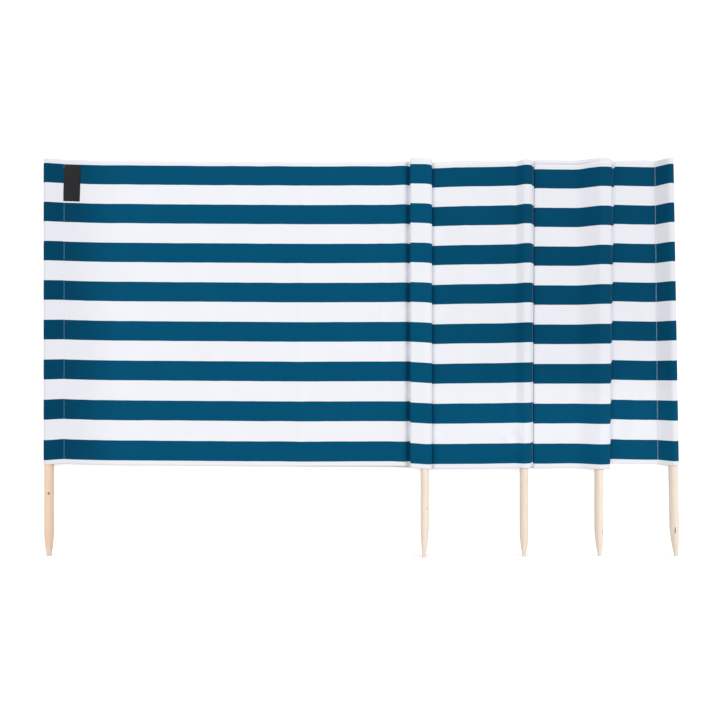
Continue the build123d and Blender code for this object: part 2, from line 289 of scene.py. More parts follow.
    weave_height = add(tree, "Math", {0: weave, 1: 0.5}, operation="MULTIPLY").outputs[0]
    slub_height = add(tree, "Math", {0: slubs.outputs[0], 1: 0.4}, operation="MULTIPLY").outputs[0]
    height = add(tree, "Math", {0: weave_height, 1: slub_height}, operation="ADD").outputs[0]
    height = add(tree, "Math", {0: height, 1: stitch}, operation="ADD").outputs[0]
    bump = add(tree, "Bump", {"Height": height, "Strength": 0.6, "Distance": 0.12 * MM})
    finish = add(tree, "BsdfPrincipled", {
        "Base Color": colour, "Roughness": 0.9, "Normal": bump.outputs[0], "IOR": 1.46,
        "Specular IOR Level": 0.04, "Sheen Weight": 0.015, "Sheen Roughness": 0.5})
    add(tree, "OutputMaterial", {"Surface": finish.outputs[0]})
    return made


striped_canvas = woven_canvas()

# The cloth's shape is worked out in plan and in millimetres, then raised in columns
ROUND_STEP = 7
LINE_STEP = 0.5
COLUMN_STEP = 5
COLUMN_TURN = 0.1
PLAIN_ROWS = 112
# Slack waves, broad and fine: width, height and depth, and the layer of the noise that they read
BROAD_WAVE = (95, 520, 2.4, 3.1)
FINE_WAVE = (38, 210, 0.8, 7.7)
# The fine waves lean aside by one width in this height, and the broad ones swell to the front
FINE_LEAN = 400
BROAD_SWELL = 0.35


def corners(node):
    """Lowest and highest corner of a CAD node, in millimetres."""
    return [np.array(corner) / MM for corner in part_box(node)]


def layer(node):
    """Middle of the flat layer that a leaf lies on, behind any pole that it passes over."""
    return corners(node)[1][1] - HEM_STEP - CLOTH_THICKNESS / 2


def turn(centre, radius, start, end):
    """Points of a round in plan, from one angle to another, in degrees from +X."""
    steps = max(3, round(abs(end - start) / ROUND_STEP))
    angles = np.radians(np.linspace(start, end, steps + 1))
    return [(centre[0] + radius * math.cos(a), centre[1] + radius * math.sin(a)) for a in angles]


def touch(point, centre, radius, side):
    """Angle where a line from a point touches a round: side 1 on its way in, -1 on its way out."""
    across, deep = point[0] - centre[0], point[1] - centre[1]
    opening = math.acos(radius / math.hypot(across, deep))
    angle = math.degrees(math.atan2(deep, across) + side * opening)
    return angle % 360 if side > 0 else angle


def strip(points, slip=((0, 0.0),), sway=((0, 0.0, 0.0),), wave=((0, 0.0),), soften=((0, 1.0),),
          lift=((0, 0.0),), creases=()):
    """Columns of cloth along a line in plan, closer together round its bends.

    By place along X: slip is how far the cloth has slid down, sway its shift along X at the lower
    and upper edge, wave its share of the common unevenness, soften how round its corners are, and
    lift how much wider than usual its upper margin is. The creases are laid on top of that.
    """
    line = np.array(points, float)
    reach = np.append(0, np.cumsum(np.hypot(*np.diff(line, axis=0).T)))
    fine = np.linspace(0, reach[-1], max(8, int(reach[-1] / LINE_STEP)))
    x, y = np.interp(fine, reach, line[:, 0]), np.interp(fine, reach, line[:, 1])
    half = (np.interp(x, *zip(*soften)) / LINE_STEP).astype(int)
    for _ in range(2):
        near = np.minimum(np.minimum(np.arange(len(x)), np.arange(len(x))[::-1]), half)
        sums_x, sums_y = np.append(0, np.cumsum(x)), np.append(0, np.cumsum(y))
        low, high = np.arange(len(x)) - near, np.arange(len(x)) + near + 1
        x = (sums_x[high] - sums_x[low]) / (high - low)
        y = (sums_y[high] - sums_y[low]) / (high - low)
    keep = [0]
    directions = np.unwrap(np.arctan2(np.gradient(y), np.gradient(x)))
    for i in range(1, len(x) - 1):
        turned = abs(directions[i] - directions[keep[-1]])
        passed = math.hypot(x[i] - x[keep[-1]], y[i] - y[keep[-1]])
        if turned > COLUMN_TURN or passed > COLUMN_STEP:
            keep.append(i)
    keep.append(len(x) - 1)
    x, y = x[keep], y[keep]
    return {
        "x": x, "y": y,
        "slip": np.interp(x, *zip(*slip)),
        "low": np.interp(x, [s[0] for s in sway], [s[1] for s in sway]),
        "high": np.interp(x, [s[0] for s in sway], [s[2] for s in sway]),
        "wave": np.interp(x, *zip(*wave)),
        "lift": np.interp(x, *zip(*lift)),
        "creases": [creases] * len(x),
    }


def join(*strips):
    """One run of columns from strips that meet end to end."""
    whole = {}
    for key in strips[0]:
        ends = [s[key] if i == 0 else s[key][1:] for i, s in enumerate(strips)]
        whole[key] = sum(ends, []) if key == "creases" else np.concatenate(ends)
    along = np.hypot(np.diff(whole["x"]), np.diff(whole["y"]))
    whole["along"] = np.append(0, np.cumsum(along))
    dx, dy = np.gradient(whole["x"]), np.gradient(whole["y"])
    length = np.hypot(dx, dy)
    whole["back"] = np.stack([-dy / length, dx / length], 1)
    return whole


def unevenness(x, z):
    """Soft waves of slack cloth, in millimetres towards the front."""
    width, height, broad_depth, seed = BROAD_WAVE
    broad = noise.noise(Vector((x / width, z / height, seed)))
    width, height, fine_depth, seed = FINE_WAVE
    fine = noise.noise(Vector((x / width + z / FINE_LEAN, z / height, seed)))
    return broad_depth * (broad + BROAD_SWELL) + fine_depth * fine


def crease_height(x, z, crease):
    """Height of one pinched crease: a ridge between two points that fades at both ends.

    A crease is the place along X and up of each end, its half width, and its height in the middle.
    """
    x0, z0, x1, z1, width, height = crease
    run = (x1 - x0, z1 - z0)
    length = math.hypot(*run)
    t = ((x - x0) * run[0] + (z - z0) * run[1]) / length**2
    beside = ((x - x0) * run[1] - (z - z0) * run[0]) / length
    fade = max(0.0, 1 - (2 * t - 1) ** 2)
    return height * fade * math.exp(-((beside / width) ** 2))


def place(columns, i, height, behind):
    """Point of the cloth in column i, in metres: height above the lower edge, distance behind."""
    share = height / CLOTH_HEIGHT
    x = columns["x"][i] + columns["back"][i][0] * behind
    x += columns["low"][i] + share * (columns["high"][i] - columns["low"][i])
    z = CLOTH_LOW + height - columns["slip"][i]
    z += columns["lift"][i] * max(0.0, 1 - (CLOTH_HEIGHT - height) / TOP_MARGIN)
    front = columns["wave"][i] * unevenness(x, z)
    for crease in columns["creases"][i]:
        front += crease_height(x, z, crease)
    y = columns["y"][i] + columns["back"][i][1] * behind - front
    return (x * MM, y * MM, z * MM)


def edge_rows():
    """Rows up the cloth: place on the flat cloth, height when sewn and distance behind."""
    turned = [(-HEM_WIDTH, HEM_WIDTH, HEM_STEP), (-HEM_WIDTH / 2, HEM_WIDTH / 2, HEM_STEP),
              (-0.7, 0.5, HEM_STEP * 0.95), (0.0, 0.0, HEM_STEP / 2), (0.7, 0.5, 0.0),
              (HEM_WIDTH / 2, HEM_WIDTH / 2, 0.0)]
    plain = np.linspace(HEM_WIDTH, CLOTH_HEIGHT - HEM_WIDTH, PLAIN_ROWS)
    upper = [(CLOTH_HEIGHT - v, CLOTH_HEIGHT - h, b) for v, h, b in reversed(turned)]
    return turned + [(v, v, 0.0) for v in plain] + upper


ROWS = edge_rows()


def make_mesh(name, points, faces, material):
    """Smooth mesh object of one material."""
    mesh = bpy.data.meshes.new(name)
    mesh.from_pydata(points, [], faces)
    mesh.polygons.foreach_set("use_smooth", [True] * len(mesh.polygons))
    mesh.materials.append(material)
    made = bpy.data.objects.new(name, mesh)
    bpy.context.scene.collection.objects.link(made)
    return made


def cut_cloth(name, points, flats, count, thickness, material):
    """Cloth through rows of points, count to a row, each with its place on the flat cloth."""
    faces = [(r * count + i, r * count + i + 1, (r + 1) * count + i + 1, (r + 1) * count + i)
             for r in range(len(points) // count - 1) for i in range(count - 1)]
    cloth = make_mesh(name, points, faces, material)
    flat = cloth.data.uv_layers.new(name="cloth")
    for loop in cloth.data.loops:
        flat.data[loop.index].uv = flats[loop.vertex_index]
    thick = cloth.modifiers.new("thickness", "SOLIDIFY")
    thick.thickness = thickness * MM
    thick.offset = 0.0
    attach(cloth, "root")
    return cloth


def sew_cloth(name, columns, nodes):
    """One length of cloth with turned hems, which takes the place of its CAD nodes and hides them.
    """
    count = len(columns["x"])
    points = [place(columns, i, height, behind) for _, height, behind in ROWS for i in range(count)]
    flats = [(along * MM, up * MM) for up, _, _ in ROWS for along in columns["along"]]
    cloth = cut_cloth(name, points, flats, count, CLOTH_THICKNESS, striped_canvas)
    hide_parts(*nodes)


# Stitching
# Pale polyester thread, lockstitched through both plies beside each pole.
# It is a row of short raised stitches, and a bar tack holds the upper end of a row.
THREAD_WIDTH = 0.5
SEAM_THREAD = 0.3
THREAD_TWIST = 0.5 * MM
STITCH_LAID = 3.0
FIRST_STITCH = 3.0
LAST_STITCH_BELOW_TOP = 4.0
TACK_STITCHES = 14
TACK_STEP = 0.7
TACK_REACH = 1.6
TACK_THREAD = 0.45
TACK_BELOW_TOP = 14
THREAD_SHADE, THREAD_LIGHT = "B9CEDD", "DCE8F0"


def spun_thread():
    """Pale spun thread with a fine twist, a little glossier than the cloth."""
    made = empty_material("spun_polyester_thread")
    tree = made.node_tree
    place_on = add(tree, "TexCoord").outputs["Object"]
    twist = add(tree, "TexWave", {
        "Vector": place_on, "Scale": math.tau / 20 / THREAD_TWIST, "Distortion": 0.5},
        wave_type="BANDS", bands_direction="DIAGONAL").outputs["Fac"]
    colour = add(tree, "Mix", {0: twist, 6: linear(THREAD_SHADE), 7: linear(THREAD_LIGHT)},
                 data_type="RGBA").outputs[2]
    bump = add(tree, "Bump", {"Height": twist, "Strength": 0.5, "Distance": 0.05 * MM}).outputs[0]
    finish = add(tree, "BsdfPrincipled", {
        "Base Color": colour, "Roughness": 0.6, "Normal": bump, "IOR": 1.5,
        "Sheen Weight": 0.1})
    add(tree, "OutputMaterial", {"Surface": finish.outputs[0]})
    return made


pale_thread = spun_thread()


def lay_stitches(name, pairs, width):
    """One mesh of raised stitches, each a small pointed cushion of thread between two points."""
    points, faces = [], []
    # Place along the stitch and share of its full width
    rings, sides = ((0.0, 0.25), (0.15, 0.8), (0.5, 1.0), (0.85, 0.8), (1.0, 0.25)), 6
    for start, end in pairs:
        start, end = Vector(start), Vector(end)
        axis = (end - start).normalized()
        out = Vector((0, -1, 0)) - axis * -axis.y
        out.normalize()
        side = axis.cross(out)
        base = len(points)
        for share, full in rings:
            middle = start.lerp(end, share)
            for k in range(sides):
                angle = math.tau * k / sides
                reach = width / 2 * MM * full
                points.append(middle + (out * math.sin(angle) + side * math.cos(angle)) * reach)
        for ring in range(len(rings) - 1):
            for k in range(sides):
                a, b = base + ring * sides + k, base + ring * sides + (k + 1) % sides
                faces.append((a, b, b + sides, a + sides))
        last = base + (len(rings) - 1) * sides
        faces.append(tuple(base + k for k in reversed(range(sides))))
        faces.append(tuple(last + k for k in range(sides)))
    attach(make_mesh(name, points, faces, pale_thread), "root")


def stitch_row(name, columns, i, width=THREAD_WIDTH, aside=0.0):
    """A row of stitches up the face of the cloth in column i, or a little to one side of it."""
    face = -(CLOTH_THICKNESS / 2 + width * 0.25)
    beside = Vector((aside * MM, 0, 0))
    starts = np.arange(FIRST_STITCH, CLOTH_HEIGHT - LAST_STITCH_BELOW_TOP, STITCH_STEP)
    pairs = [(Vector(place(columns, i, low, face)) + beside,
              Vector(place(columns, i, low + STITCH_LAID, face)) + beside) for low in starts]
    lay_stitches(name, pairs, width)


def bar_tack(name, columns, i):
    """A dense block of short stitches across the upper end of a row."""
    face = -(CLOTH_THICKNESS / 2 + THREAD_WIDTH * 0.25)
    across = Vector((TACK_REACH * MM, 0, 0))
    pairs = []
    for k in range(TACK_STITCHES):
        height = CLOTH_HEIGHT - TACK_BELOW_TOP + TACK_STEP * k
        left = Vector(place(columns, i, height, face)) - across
        right = Vector(place(columns, i, height + TACK_STEP / 2, face)) + across
        pairs.append((left, right))
    lay_stitches(name, pairs, TACK_THREAD)


def close_seam(number, columns, x):
    """Stitches and a bar tack up the last column before x, on a run that ends in a lip."""
    at_seam = int(np.nonzero(columns["x"] <= x)[0][-1])
    stitch_row(f"sleeve_{number}_stitches", columns, at_seam, SEAM_THREAD)
    bar_tack(f"sleeve_{number}_bar_tack", columns, at_seam)


# First end sleeve and spread bay
# The canvas's end is turned round the first pole to the back and stitched down.
# From there the first bay runs tight to the second pole.
POLE_RADIUS = 11.0
WRAP = corners("sleeve_1")[1][1] - CLOTH_THICKNESS / 2
END_STITCH = 39.5
TURNED_END = 8.0
# How far a lip stands past its seam, and how far back its last turn starts
LIP = 3.0
LIP_TURN = 0.8
middle_1 = (-0.8, 0.0)
front_left_1 = 240
bay_1 = layer("bay_1_panel")
seam_2 = corners("bay_1_panel")[1][0]
fold_2, fold_3, fold_4 = (corners(f"bay_{bay}_fold")[0][0] for bay in (2, 3, 4))
pole_2, pole_3, pole_4 = (
    (corners(f"pole_{number}")[0] + corners(f"pole_{number}")[1]) / 2 for number in (2, 3, 4))
stitch_1 = (END_STITCH, bay_1)
behind_1 = (END_STITCH, bay_1 + 0.6)
first_end = strip(
    [(END_STITCH + TURNED_END, bay_1 + 0.7), behind_1]
    + turn(middle_1, WRAP, touch(behind_1, middle_1, WRAP, 1), front_left_1)
    + turn(middle_1, WRAP, front_left_1, 360 + touch(stitch_1, middle_1, WRAP, -1))
    + [stitch_1],
    slip=((-14, -2.9), (32, -4.2)), soften=((0, 1.5),))
left_of_2 = corners("sleeve_2")[0][0]
tuck_2 = seam_2 - LIP
first_span = strip(
    [stitch_1, (left_of_2 - 50, bay_1), (left_of_2 - 21, bay_1 - 5.0),
     (left_of_2 - 14, bay_1 - 5.4), (left_of_2 - 7, bay_1 - 3.4), (left_of_2 - 2.5, bay_1 - 0.2),
     (left_of_2 + 2, bay_1),
     (tuck_2 - 7, bay_1), (tuck_2 - 1, bay_1), (tuck_2 - 0.4, bay_1 - 0.4)],
    slip=((32, -4.2), (110, -1.8), (180, -0.8), (660, 2.4), (800, 1.9), (1005, 1.6)),
    wave=((40, 0.0), (95, 0.8), (300, 1.0), (890, 1.0), (938, 0.0)),
    soften=((left_of_2 - 40, 4.0), (left_of_2 - 14, 1.5)),
    creases=(
        (fold_2 + 3, 150, fold_2 + 14, 1130, 9, 1.6),
        (fold_3 - 4, 120, fold_3 - 16, 1120, 8, 1.5),
        (fold_2 - 95, 300, fold_2 - 60, 1100, 26, 1.4),
    ))
bay_1_columns = join(first_end, first_span)
sew_cloth("bay_1_cloth", bay_1_columns, ["sleeve_1", "bay_1_panel"])
at_stitch_1 = len(first_end["x"]) - 1
stitch_row("sleeve_1_stitches", bay_1_columns, at_stitch_1)

# Second sleeve
# A loop of canvas round the second pole, slack and flopped over in front of the first bay.
# Its two plies meet in the seam, which ends in a narrow lip.
# The angle is where it leaves the round of its pole, in degrees from +X.
LEAVE_2 = 285
lip_2 = tuck_2 + LIP_TURN
back_2 = corners("sleeve_2")[1][1] - CLOTH_THICKNESS / 2
brow_2 = (left_of_2 + 2.4, back_2 - 19.4)
sleeve_2 = strip(
    [(tuck_2 - 0.4, bay_1 - 0.4), (tuck_2 - 1, back_2), (tuck_2 - 6, back_2),
     (left_of_2 + 7, back_2), (left_of_2 + 3.6, back_2 - 1.6), (left_of_2 + 2.4, back_2 - 6),
     (left_of_2 + 1.0, back_2 - 12.5), (left_of_2 + 0.2, back_2 - 16.5), brow_2]
    + turn(pole_2, WRAP, touch(brow_2, pole_2, WRAP, 1), LEAVE_2)
    + [(pole_2[0] + 8, pole_2[1] - 11.2), (pole_2[0] + 13.5, pole_2[1] - 8.8),
       (pole_2[0] + 17.8, pole_2[1] - 4.7), (pole_2[0] + 19.2, pole_2[1] + 1.5),
       (tuck_2 - 1.4, back_2 - 1.5), (tuck_2, back_2 - 1.1), (lip_2, back_2 + 0.2)],
    slip=((947, 2.9), (985, 4.8), (1005, 6.1)), lift=((949, 4.4),),
    soften=((left_of_2 + 12, 1.6), (pole_2[0] - 10, 1.0)))
sleeve_2_columns = join(sleeve_2)
sew_cloth("sleeve_2_cloth", sleeve_2_columns, ["sleeve_2"])
close_seam(2, sleeve_2_columns, lip_2 - 1.0)

# Second bay
# Its inner leaf runs back behind the first bay to a fold, and the outer leaf comes forward
# again over the third pole to the third seam.
FOLD_FULLNESS = 0.6
FOLD_REACH = 16
LEAVE_3 = 285
SEAM_DEPTH = 6.2
LIP_3_DEPTH = 3.0
STITCH_IN_LIP = 1.2
# A leaf inside another passes their pole and their seam this much closer
LEAF_STEP = 1.5
INNER_WRAP = WRAP + 1.05
OUTER_WRAP = INNER_WRAP + LEAF_STEP
# A leaf behind another stands this share of its depth to the right at its first turn
NESTING = 0.6
inner_2, outer_2 = layer("bay_2_inner_leaf"), layer("bay_2_outer_leaf")
inner_3, outer_3 = layer("bay_3_inner_leaf"), layer("bay_3_outer_leaf")
inner_4, outer_4 = layer("bay_4_inner_leaf"), layer("bay_4_outer_leaf")
seam_3, seam_4 = corners("bay_2_outer_leaf")[1][0], corners("bay_3_outer_leaf")[1][0]
seam_3_y, seam_4_y = pole_3[1] + SEAM_DEPTH, pole_4[1] + SEAM_DEPTH
seam_reach_3, seam_reach_4 = seam_3 - pole_3[0], seam_4 - pole_4[0]
lip_3_y = pole_3[1] + LIP_3_DEPTH


def over_pole(start, rises, pole, radius, leave, flank):
    """Line in plan that leaves its layer, passes round the front of a pole and down its flank."""
    return ([start, *rises] + turn(pole, radius, touch(rises[-1], pole, radius, 1), leave)
            + [(pole[0] + across, pole[1] + deep) for across, deep in flank])


def soft_fold(x, front, back):
    """Round end of a fold, a little fuller than the gap between its two leaves."""
    full = (back - front) / 2 + FOLD_FULLNESS
    centre = (x + full, (front + back) / 2)
    return ([(x + FOLD_REACH, front), (x + 6, front - 0.4)] + turn(centre, full, -90, -270)
            + [(x + 6, back + 0.4), (x + FOLD_REACH, back)])


def front_of_lip(seam, deep):
    """Last points of a leaf, in the lip past its seam."""
    return [(seam + LIP - LIP_TURN, deep + 0.2), (seam + LIP, deep + 1.2)]


def back_of_lip(seam, deep):
    """First points of the leaf that turns back there."""
    return [(seam + LIP, deep + 1.2), (seam + LIP - LIP_TURN, deep + 1.6)]


def slack_to_pole_3(level, dip):
    """Puff of cloth after the second seam, its long rise and the dip beside the third pole."""
    aside = (level - outer_2) * NESTING
    return [(tuck_2 + 1.8 + aside, level), (tuck_2 + 3.6 + aside, level - 6.8),
            (tuck_2 + 9 + aside, level - 8.2), (seam_2 + 40, level - 9.4),
            (pole_3[0] - 140, level - 11.0), (pole_3[0] - 66, level - 12.6),
            (pole_3[0] - 40, level - 14.2), (pole_3[0] + dip[0], pole_3[1] + dip[1])]


round_3 = ((seam_2 + 1, 0.7), (seam_2 + 12, 3.0), (pole_3[0] - 70, 9.0), (pole_3[0] - 30, 4.0),
           (pole_3[0] - 16, 3.0), (pole_3[0] - 6, 1.0))
sway_3 = ((pole_3[0] + 4, 0.0, 0.0), (pole_3[0] + 18, 0.0, 2.2), (seam_3 + LIP, 0.0, 2.7))
# Where the waves of slack stop, beside the seams and the poles
still_2 = ((640, 1.0), (890, 1.0), (938, 0.0), (1018, 0.0), (1060, 0.8), (1160, 0.8), (1190, 0.0))
bay_2_back = strip(
    [(lip_2, back_2 + 0.4), (tuck_2, inner_2), (seam_2 - 6, inner_2),
     (fold_2 + FOLD_REACH, inner_2)],
    slip=((640, 3.0), (1005, 4.5)), wave=still_2)
bay_2_end = strip(soft_fold(fold_2, inner_2, outer_2), slip=((640, 3.0),), wave=still_2)
bay_2_front = strip(
    over_pole((fold_2 + FOLD_REACH, outer_2), slack_to_pole_3(outer_2, (-22.0, -3.2)), pole_3,
              OUTER_WRAP, LEAVE_3,
              [(11.0, -12.4), (16.0, -8.3), (18.5, -2.8), (seam_reach_3, LIP_3_DEPTH)])
    + front_of_lip(seam_3, lip_3_y),
    slip=((650, 3.0), (900, 5.0), (1005, 8.5), (1070, 7.2), (1185, 6.0), (1266, 3.7)),
    sway=sway_3, wave=still_2, soften=round_3, lift=((1225, 0.0), (1247, 2.3)),
    creases=(
        (pole_3[0] - 21, 60, pole_3[0] - 21, 440, 9, 2.6),
        (1084, 180, 1096, 1120, 12, 1.5),
        (1238, 262, 1182, 330, 9, 2.2),
        (1245, 300, 1196, 400, 9, 1.6),
        (1030, 960, 1080, 1036, 14, 1.4),
    ))
bay_2_columns = join(bay_2_back, bay_2_end, bay_2_front)
sew_cloth("bay_2_cloth", bay_2_columns, ["bay_2_inner_leaf", "bay_2_fold", "bay_2_outer_leaf"])
close_seam(3, bay_2_columns, seam_3 + STITCH_IN_LIP)

# Third and fourth sleeves
# Loops of the same canvas round their poles, caught in the seams by their two cut ends.
# They lie flat behind the gathered leaves and show only as bulges.
EDGE_RADIUS = 3.0
EDGE_REACH_3, EDGE_REACH_4 = 36.0, 28.0
LOOP_SHORT_OF_SEAM = 3.0


def flat_loop(number, pole, seam, seam_y, edge_reach, dip):
    """Line in plan of a sleeve, from its seam behind the pole, round its far edge and back."""
    back = corners(f"sleeve_{number}")[1][1] - CLOTH_THICKNESS / 2
    radius = EDGE_RADIUS - CLOTH_THICKNESS / 2
    edge = (pole[0] - edge_reach + EDGE_RADIUS, back + CLOTH_THICKNESS / 2 - EDGE_RADIUS)
    end_x = seam - LOOP_SHORT_OF_SEAM
    start, end = (end_x, seam_y + 4.2), (end_x, seam_y + 3.2)
    slope = math.degrees(math.atan2(edge[1] - radius - dip[1], dip[0] - edge[0]))
    return ([start] + turn(pole, WRAP, touch(start, pole, WRAP, 1), 90)
            + turn(edge, radius, 90, 270 - slope) + [dip]
            + turn(pole, WRAP, touch(dip, pole, WRAP, 1), 360 + touch(end, pole, WRAP, -1))
            + [end])


sleeve_3_columns = join(strip(
    flat_loop(3, pole_3, seam_3, seam_3_y, EDGE_REACH_3, (pole_3[0] - 20.0, pole_3[1] + 0.6)),
    slip=((1200, 5.0),)))
sew_cloth("sleeve_3_cloth", sleeve_3_columns, ["sleeve_3"])
sleeve_4_columns = join(strip(
    flat_loop(4, pole_4, seam_4, seam_4_y, EDGE_REACH_4, (pole_4[0] - 15.0, pole_4[1] - 2.0)),
    slip=((1400, 4.0),)))
sew_cloth("sleeve_4_cloth", sleeve_4_columns, ["sleeve_4"])

# Third bay
# The inner leaf passes between the second bay and the third sleeve to its fold.
# The outer leaf returns behind that sleeve and goes over the fourth pole to the fourth seam.
LEAVE_4 = 280


def slack_to_pole_4(level):
    """Puff of cloth after the third seam, and the foot of the rise to the fourth pole."""
    aside = (level - outer_3) * NESTING
    return [(seam_3 + LIP + 0.9 + aside, level), (seam_3 + LIP + 2.8 + aside, level - 5.0),
            (seam_3 + 14, level - 6.2), (seam_3 + 50, level - 4.2), (pole_4[0] - 52, level - 2.5)]


round_4 = ((seam_3 + 4, 0.7), (seam_3 + 12, 3.0), (pole_4[0] - 55, 10.0), (pole_4[0] - 30, 10.0),
           (pole_4[0] - 8, 2.0), (pole_4[0], 1.0))
still_3 = ((870, 1.0), *still_2[1:], (1278, 0.0), (1310, 0.7), (1370, 0.7), (1395, 0.0))
sway_4 = ((1200, 0.0, 0.0), (1260, 0.0, 2.7), (seam_3 + 14, 0.0, 2.7), (seam_3 + 60, 0.0, 0.0),
          (pole_4[0] + 4, 0.0, 0.0), (pole_4[0] + 25, 2.2, 8.0), (seam_4, 2.0, 8.5),
          (seam_4 + LIP, 1.7, 13.0))
groove_4 = (1476.5, 520, 1485.0, 1300, 1.5, -3.0)
third_line = over_pole(
    (fold_3 + FOLD_REACH, inner_3), slack_to_pole_3(inner_3, (-21.4, -1.5)), pole_3, INNER_WRAP,
    LEAVE_3, [(10.3, -11.0), (14.6, -7.4), (17.0, -2.3),
              (seam_reach_3 - LEAF_STEP, LIP_3_DEPTH + LEAF_STEP)])
bay_3_back = strip(
    back_of_lip(seam_3, lip_3_y) + third_line[::-1],
    slip=((870, 4.0), (1266, 3.0)), sway=sway_3, wave=still_3, soften=round_3)
bay_3_end = strip(soft_fold(fold_3, inner_3, outer_3), slip=((870, 4.0),), wave=still_3)
bay_3_front = strip(
    over_pole((fold_3 + FOLD_REACH, outer_3), slack_to_pole_4(outer_3), pole_4, OUTER_WRAP, LEAVE_4,
              [(14.0, -13.4), (21.0, -10.3), (25.0, -4.8), (seam_reach_4, SEAM_DEPTH)])
    + front_of_lip(seam_4, seam_4_y),
    slip=((885, 4.0), (1150, 6.0), (1270, 8.3), (1400, 8.2), (1470, 7.3), (1474, 5.0), (1477, 2.5)),
    sway=sway_4, wave=still_3, soften=round_4, lift=((1400, 0.0), (1445, 3.0)),
    creases=(
        groove_4,
        (1432, 1050, 1395, 960, 10, 2.0),
        (1385, 225, 1440, 330, 10, 1.8),
        (1300, 230, 1345, 380, 14, 1.5),
    ))
bay_3_columns = join(bay_3_back, bay_3_end, bay_3_front)
sew_cloth("bay_3_cloth", bay_3_columns, ["bay_3_inner_leaf", "bay_3_fold", "bay_3_outer_leaf"])
close_seam(4, bay_3_columns, seam_4 + STITCH_IN_LIP)

# Fourth bay and last end sleeve
# The outer leaf lies at the back and runs on round the leaning fifth pole.
# Its end is turned behind and stitched down as at the first pole.
POINT_HEIGHT = 76.0
SEAM_REACH_5 = 29.5
pole_5_low, pole_5_high = corners("pole_5")
lean = (pole_5_high[0] - pole_5_low[0] - 2 * POLE_RADIUS) / (pole_5_high[2] - POINT_HEIGHT)
pole_5 = (pole_5_high[0] - POLE_RADIUS + lean * POINT_HEIGHT, (pole_5_low[1] + pole_5_high[1]) / 2)
lean_low, lean_high = -lean * CLOTH_LOW, -lean * (CLOTH_LOW + CLOTH_HEIGHT)
stitch_5 = (pole_5[0] - SEAM_REACH_5, outer_4 - 0.7)
behind_5 = (pole_5[0] - SEAM_REACH_5, outer_4)
slack_5, slack_radius = (pole_5[0] + 0.3, pole_5[1] - 0.6), WRAP + 0.6
# The row of stitches stands more upright than the pole, so it nears the pole towards the top
seam_low, seam_high = lean_low - 3.6, lean_high + 2.2
still_4 = still_3[2:] + ((1492, 0.0), (1525, 0.6), (1575, 0.6), (1598, 0.0))
sway_5 = ((1490, 0.0, 0.0), (stitch_5[0], seam_low, seam_high))
lift_4 = ((1010, 0.0), (1018, 3.3), (1230, 3.3), (1290, 4.5), (1400, 4.5), (1445, 3.0),
          (1480, 3.8), (1590, 7.0), (1630, 3.5))
fourth_line = over_pole(
    (fold_4 + FOLD_REACH, inner_4), slack_to_pole_4(inner_4), pole_4, INNER_WRAP, LEAVE_4,
    [(13.0, -11.9), (19.8, -9.2), (23.5, -4.2), (seam_reach_4 - LEAF_STEP, SEAM_DEPTH + LEAF_STEP)])
bay_4_back = strip(
    back_of_lip(seam_4, seam_4_y) + fourth_line[::-1],
    sway=sway_4, wave=still_4, soften=round_4, lift=lift_4, creases=(groove_4,))
bay_4_end = strip(soft_fold(fold_4, inner_4, outer_4), wave=still_4, lift=lift_4)
bay_4_front = strip(
    [(fold_4 + FOLD_REACH, outer_4), (stitch_5[0] - 20, outer_4), stitch_5],
    slip=((1400, 0.0), (1485, -2.0), (1580, 0.0)),
    sway=sway_5, wave=still_4, soften=((0, 2.0),), lift=lift_4,
    creases=(
        (1500, 250, 1560, 480, 12, 3.4),
        (1525, 330, 1585, 520, 10, 2.2),
        (1490, 300, 1520, 620, 14, 2.0),
        (1560, 980, 1590, 1034, 10, 1.2),
    ))
last_end = strip(
    [stitch_5]
    + turn(slack_5, slack_radius, touch(stitch_5, slack_5, slack_radius, 1), 360)
    + turn(slack_5, slack_radius, 360, 360 + touch(behind_5, slack_5, slack_radius, -1))
    + [behind_5, (behind_5[0] - TURNED_END, outer_4 + 0.2)],
    slip=((1611, 0.0), (1660, -1.1)), soften=((0, 2.5),), lift=lift_4,
    sway=((stitch_5[0], seam_low, seam_high), (pole_5[0] - WRAP, lean_low, lean_high)))
bay_4_columns = join(bay_4_back, bay_4_end, bay_4_front, last_end)
sew_cloth("bay_4_cloth", bay_4_columns,
          ["bay_4_inner_leaf", "bay_4_fold", "bay_4_outer_leaf", "sleeve_5"])
at_stitch_5 = len(bay_4_columns["x"]) - len(last_end["x"])
stitch_row("sleeve_5_stitches", bay_4_columns, at_stitch_5)
stitch_row("sleeve_5_second_stitches", bay_4_columns, at_stitch_5, aside=-1.4)

# Label tab
# A bare black woven tab with turned ends, sewn flat to the cloth beside the first sleeve.
# Fine ribs run across it and its edge stands a little proud of the cloth.
LABEL_WIDTH = 44.0
LABEL_HEIGHT = 95.0
LABEL_THICKNESS = 0.45
LABEL_TILT = math.radians(2.0)
LABEL_MIDDLE = (60.5, 979.3)
LABEL_GAP = 0.1
LABEL_COLUMNS, LABEL_ROWS = 19, 39
PILLOW_RISE = 0.35
PILLOW_EDGE = 6
RIB_STEP = 0.8 * MM
RIB_SHADE, RIB_LIGHT = "121214", "1E1E21"


